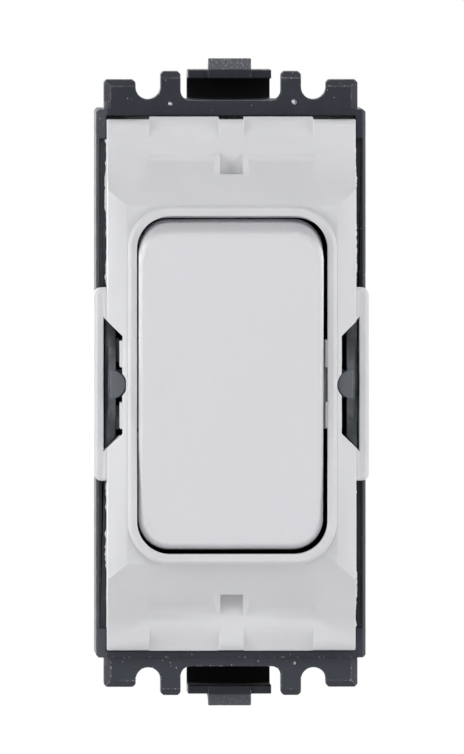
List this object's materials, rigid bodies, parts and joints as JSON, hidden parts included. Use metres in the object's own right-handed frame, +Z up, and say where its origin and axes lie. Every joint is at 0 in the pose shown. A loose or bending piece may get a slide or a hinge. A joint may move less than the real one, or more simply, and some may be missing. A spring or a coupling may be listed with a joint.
{
  "type": "grid switch module",
  "caption": "Rocker switch module for a wall-plate grid frame: white frame and rocker on a dark moulded base with comb shoulders, snap latches and pillar terminals.",
  "frame": {"origin": "centre of the grid-frame opening, on the plane where the rear faces of the end shoulders meet the grid frame", "axes": "+Z up the wall, +X to the right seen from the room, +Y into the wall, so the rocker faces -Y"},
  "size_m": [0.025, 0.0318, 0.059],
  "materials": {
    "base_plastic": "fine moulded satin, dark grey",
    "frame_plastic": "satin white moulding",
    "rocker_plastic": "gloss white moulding",
    "acetal": "natural acetal",
    "spring_steel": "drawn wire",
    "copper": "rolled copper",
    "contact_silver": "silver alloy",
    "strip_brass": "pressed strip",
    "terminal_brass": "sawn and drilled bar",
    "screw_steel": "bright zinc plate"
  },
  "bodies": {
    "module": {"base_housing": "base_plastic", "front_frame": "frame_plastic", "fixed_contact_upper": "contact_silver", "fixed_contact_lower": "contact_silver", "common_strip": "strip_brass", "upper_strip": "strip_brass", "lower_strip": "strip_brass", "common_terminal": "terminal_brass", "upper_terminal": "terminal_brass", "lower_terminal": "terminal_brass"},
    "rocker": {"rocker": "rocker_plastic", "plunger_spring": "spring_steel"},
    "plunger": {"plunger": "acetal"},
    "see_saw": {"contact_bar": "copper", "moving_contact_upper": "contact_silver", "moving_contact_lower": "contact_silver"},
    "common_screw": {"common_screw": "screw_steel"},
    "upper_screw": {"upper_screw": "screw_steel"},
    "lower_screw": {"lower_screw": "screw_steel"}
  },
  "joints": [
    {"name": "rocker_tip", "type": "hinge", "parent": "module", "child": "rocker", "pos_m": [-0.00013, -0.0054, 0], "axis": [1, 0, 0], "range_deg": [-10, 0]},
    {"name": "see_saw_tip", "type": "hinge", "parent": "module", "child": "see_saw", "pos_m": [0, 0.0055, 0], "axis": [1, 0, 0], "range_deg": [0, 17]},
    {"name": "plunger_slide", "type": "slide", "parent": "rocker", "child": "plunger", "axis": [0, -0.9962, -0.0872], "range_m": [0, 0.0005], "stiffness_N_per_m": 800, "springref_m": -0.0015, "deforming": ["plunger_spring"]},
    {"name": "common_screw_run", "type": "slide", "parent": "module", "child": "common_screw", "axis": [0, -1, 0], "range_m": [0, 0.0033]},
    {"name": "upper_screw_run", "type": "slide", "parent": "module", "child": "upper_screw", "axis": [0, -1, 0], "range_m": [0, 0.0033]},
    {"name": "lower_screw_run", "type": "slide", "parent": "module", "child": "lower_screw", "axis": [0, -1, 0], "range_m": [0, 0.0033]}
  ],
  "couplings": [
    {"joint": "see_saw_tip", "follows": "rocker_tip", "ratio": -1.7}
  ]
}
